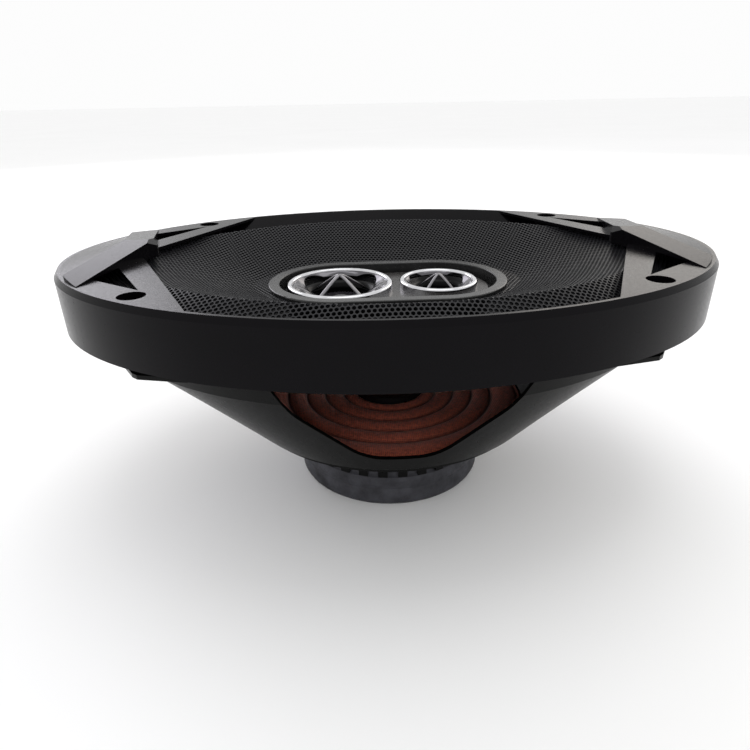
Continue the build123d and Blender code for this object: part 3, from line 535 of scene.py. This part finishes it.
# ---------------------------------------------------------------- tinsel leads
def build_lead(name):
    """Braided wire: strands twisted both ways round the route, from the board to the cone."""
    low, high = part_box(name)
    x = (low.x + high.x) / 2
    radius = (high.x - low.x) / 2
    route = bpy.data.curves.new(name + "_route", "CURVE")
    route.dimensions = "3D"
    spline = route.splines.new("NURBS")
    start_z = low.z + radius
    points = [(x, high.y, start_z), (x, 0.0540, start_z), (x, 0.0470, start_z + 0.0014),
              (x, 0.0400, start_z + 0.0004), (x, 0.0332, start_z + 0.0008),
              (x, 0.0274, start_z + 0.0028)]
    spline.points.add(len(points) - 1)
    for target, point in zip(spline.points, points):
        target.co = (*point, 1.0)
    spline.order_u = 3
    spline.use_endpoint_u = True
    spline.resolution_u = 24
    holder = bpy.data.objects.new(name + "_holder", route)
    SCENE.collection.objects.link(holder)
    line = bpy.data.meshes.new_from_object(holder)
    path = [v.co.copy() for v in line.vertices]
    bpy.data.objects.remove(holder)
    verts, faces = [], []
    strands, sides, turns = 6, 6, 9
    strand_r = radius * 0.36
    spread_r = (radius - strand_r) * 0.95
    for s in range(strands):
        offset = len(verts)
        for n, co in enumerate(path):
            ahead = path[min(n + 1, len(path) - 1)] - path[max(n - 1, 0)]
            along = ahead.normalized()
            side = Vector((1, 0, 0))
            up = side.cross(along).normalized()
            twist = 2 * pi * (turns * n / len(path) * (1 if s % 2 else -1) + s / strands)
            centre = co + (side * cos(twist) + up * sin(twist)) * spread_r
            for k in range(sides):
                angle = 2 * pi * k / sides
                verts.append(centre + (side * cos(angle) + up * sin(angle)) * strand_r)
        add_tube_faces(faces, offset, len(path), sides)
    braid = piece(name + "_braid", verts, faces, M["braid"])
    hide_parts(name)
    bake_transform(braid)


for lead in ("tinsel_lead_positive", "tinsel_lead_negative"):
    build_lead(lead)


# ---------------------------------------------------------------- tweeter horns
# radii on the large tweeter; the small one is the same to scale
LARGE_RING_R, HORN_THROAT_R = 0.0213, 0.0125
LOBE_CENTRE, LOBE_R = 0.0117, 0.0068
SIDE_TIP_R, MIDDLE_TIP_R = 0.0094, 0.0166
# these are the same on both
HORN_DEPTH, PETAL_THICKNESS, FUNNEL_WALL, FUNNEL_INSET = 0.0040, 0.0007, 0.0008, 0.0014
FOLD_HALF_ANGLE = radians(26)


def off_axis(turn):
    """Angle to the nearest of the four directions along X and Y."""
    return abs((turn + pi / 4) % (pi / 2) - pi / 4)


def horn_opening(turn, scale):
    """Radius where the petals end: round lobes on the diagonals leave four petals."""
    off_diagonal = pi / 4 - off_axis(turn)
    centre, lobe = LOBE_CENTRE * scale, LOBE_R * scale
    tip = (SIDE_TIP_R if abs(cos(turn)) > abs(sin(turn)) else MIDDLE_TIP_R) * scale
    side = centre * sin(off_diagonal)
    if side >= lobe:
        return tip
    return max(tip, centre * cos(off_diagonal) + sqrt(lobe ** 2 - side ** 2))


def build_horn(tweeter):
    """Bright petals, folded along their middles, over a black funnel."""
    low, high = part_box(tweeter + "_bezel")
    x, ring_r = (low.x + high.x) / 2, (high.x - low.x) / 2
    scale = ring_r / LARGE_RING_R
    horn_low, horn_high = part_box(tweeter + "_waveguide")
    lip_r, lip_z = (horn_high.x - horn_low.x) / 2, horn_high.z
    throat_r = HORN_THROAT_R * scale
    throat_z = lip_z - HORN_DEPTH
    slope = (lip_z - throat_z) / (lip_r - throat_r)
    fold = 0.0007 * scale
    count, steps = 288, 12
    top, under = [], []
    for n in range(steps + 1):
        share = n / steps
        ring_top, ring_under = [], []
        for k in range(count):
            turn = 2 * pi * k / count
            inner = horn_opening(turn, scale)
            r = inner + (lip_r - inner) * share
            ridge = max(0.0, 1.0 - off_axis(turn) / FOLD_HALF_ANGLE) * sin(pi * share)
            z = lip_z - slope * (lip_r - r) + fold * ridge
            ring_top.append((x + r * cos(turn), r * sin(turn), z))
            ring_under.append((x + r * cos(turn), r * sin(turn), z - PETAL_THICKNESS))
        top.append(ring_top)
        under.append(ring_under)
    petals = rings_to_piece(tweeter + "_horn_petals", top + under[::-1], M["silver"])
    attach(petals, "root")
    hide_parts(tweeter + "_waveguide")
    funnel_r = lip_r - FUNNEL_INSET
    outside_r = throat_r + FUNNEL_WALL
    foot_z = horn_low.z + 0.0001
    profile = [(funnel_r, lip_z - 0.0014), (throat_r + 0.0001, throat_z - 0.0009),
               (throat_r, foot_z), (outside_r, foot_z),
               (outside_r, throat_z - 0.0014), (funnel_r, lip_z - 0.0024)]
    funnel = turned(tweeter + "_horn_funnel", profile, M["horn"], 160, x)
    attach(funnel, "root")
    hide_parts(tweeter + "_waveguide")


def build_diffuser(tweeter):
    """Four slim bars that meet in a rounded point over the dome."""
    low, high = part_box(tweeter + "_bezel")
    x, scale = (low.x + high.x) / 2, (high.x - low.x) / 2 / LARGE_RING_R
    apex_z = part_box(tweeter + "_diffuser")[1].z
    foot_r, foot_z = 0.0139 * scale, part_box(tweeter + "_waveguide")[1].z - 0.0044
    half_width, half_depth, rounding = 0.00085 * scale, 0.00065 * scale, 0.0020 * scale
    reach = sqrt(foot_r ** 2 + rounding ** 2) - rounding
    verts, faces = [], []
    sides, steps = 12, 20
    for arm in range(4):
        turn = radians(45 + 90 * arm)
        out = Vector((cos(turn), sin(turn), 0))
        across = Vector((-sin(turn), cos(turn), 0))
        offset = len(verts)
        for n in range(steps + 1):
            r = foot_r * n / steps
            drop = (sqrt(r ** 2 + rounding ** 2) - rounding) / reach
            centre = Vector((x, 0, apex_z - half_depth - (apex_z - foot_z) * drop)) + out * r
            tilt = (apex_z - foot_z) / reach * r / sqrt(r ** 2 + rounding ** 2)
            up = Vector((out.x * tilt, out.y * tilt, 1.0)).normalized()
            for k in range(sides):
                angle = 2 * pi * k / sides
                verts.append(centre + across * (half_width * cos(angle))
                             + up * (half_depth * sin(angle)))
        add_tube_faces(faces, offset, steps + 1, sides)
    bars = piece(tweeter + "_diffuser_bars", verts, faces, M["bar"])
    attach(bars, "root")
    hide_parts(tweeter + "_diffuser")


for tweeter in ("large_tweeter", "small_tweeter"):
    build_horn(tweeter)
    build_diffuser(tweeter)


# ---------------------------------------------------------------- magnet boot
def build_boot():
    """Rubber boot with a faint seam line round it and a neck inside the basket's skirt."""
    outer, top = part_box("magnet_boot")[1].x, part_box("magnet_boot")[1].z
    neck, shoulder, inner = outer - 0.0010, top - 0.0020, outer - 0.0034
    seam, seam_depth = 0.0078, 0.00025
    floor = 0.0010
    profile = [(0.0, 0.0), (outer - 0.0040, 0.0), (outer - 0.0016, 0.0), (outer - 0.0005, 0.0005),
               (outer, 0.0016), (outer, seam - 0.0004), (outer - seam_depth, seam - 0.0001),
               (outer - seam_depth, seam + 0.0001), (outer, seam + 0.0004),
               (outer, shoulder - 0.0007), (outer - 0.0003, shoulder - 0.0002),
               (neck, shoulder), (neck, top - 0.0005), (neck - 0.0004, top), (inner, top),
               (inner, floor), (0.0, floor)]
    boot = turned("rubber_boot", profile, M["boot"], 256)
    weld(boot)
    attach(boot, "root")
    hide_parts("magnet_boot")


build_boot()


# ---------------------------------------------------------------- stage, light and camera
def build_floor(half=40.0):
    """Plain pale floor under the speaker, far wider than the view."""
    material, tree, surface, place = shader("pale_floor")
    tone = ramp(tree, noise(tree, place, 0.4, 3.0),
                [(0.3, (0.94, 0.94, 0.94)), (0.7, (0.96, 0.96, 0.96))])
    tree.links.new(tone, surface.inputs["Base Color"])
    surface.inputs["Roughness"].default_value = 0.9
    floor = piece("floor", [(-half, -half, 0), (half, -half, 0), (half, half, 0), (-half, half, 0)],
                  [(0, 1, 2, 3)], material, smooth=False)


def area_light(name, place, target, power, tint=(1.0, 1.0, 1.0), size=0.8):
    """A round soft light at a place, aimed at a target."""
    light = bpy.data.lights.new(name, "AREA")
    light.shape = "DISK"
    light.size = size
    light.energy = power
    light.color = tint
    holder = bpy.data.objects.new(name, light)
    SCENE.collection.objects.link(holder)
    holder.location = place
    holder.rotation_euler = (Vector(target) - Vector(place)).to_track_quat("-Z", "Y").to_euler()


def build_light():
    """White surroundings, two lights behind the speaker and one overhead."""
    world = bpy.data.worlds.new("studio")
    world.use_nodes = True
    world.node_tree.nodes["Background"].inputs["Color"].default_value = (1.0, 1.0, 1.0, 1.0)
    world.node_tree.nodes["Background"].inputs["Strength"].default_value = 0.98
    SCENE.world = world
    middle = (0.0, 0.0, 0.06)
    area_light("rear_left", (-0.75, 1.15, 0.75), middle, 5.0, (0.95, 0.93, 1.0))
    area_light("rear_right", (0.75, 1.15, 0.75), middle, 3.0, (1.0, 0.93, 0.86))
    area_light("overhead", (0.1, 0.2, 1.3), middle, 2.5)


def build_camera():
    """The camera stands close in front and a little above, turned slightly."""
    place = Vector((-0.0153, -0.2256, 0.1477))
    yaw, pitch, roll = radians(-2.36), radians(25.54), radians(-1.11)
    back = Vector((sin(yaw) * cos(pitch), -cos(yaw) * cos(pitch), sin(pitch)))
    right = Vector((cos(yaw), sin(yaw), 0.0))
    up = back.cross(right)
    side = right * cos(roll) + up * sin(roll)
    top = back.cross(side)
    camera = bpy.data.cameras.new("camera")
    camera.lens = 27.52
    camera.sensor_width = 36.0
    camera.clip_start = 0.01
    holder = bpy.data.objects.new("camera", camera)
    SCENE.collection.objects.link(holder)
    holder.matrix_world = Matrix(((side.x, top.x, back.x, place.x),
                                  (side.y, top.y, back.y, place.y),
                                  (side.z, top.z, back.z, place.z), (0, 0, 0, 1)))
    SCENE.camera = holder


build_floor()
build_light()
build_camera()
SCENE.view_settings.view_transform = "Standard"
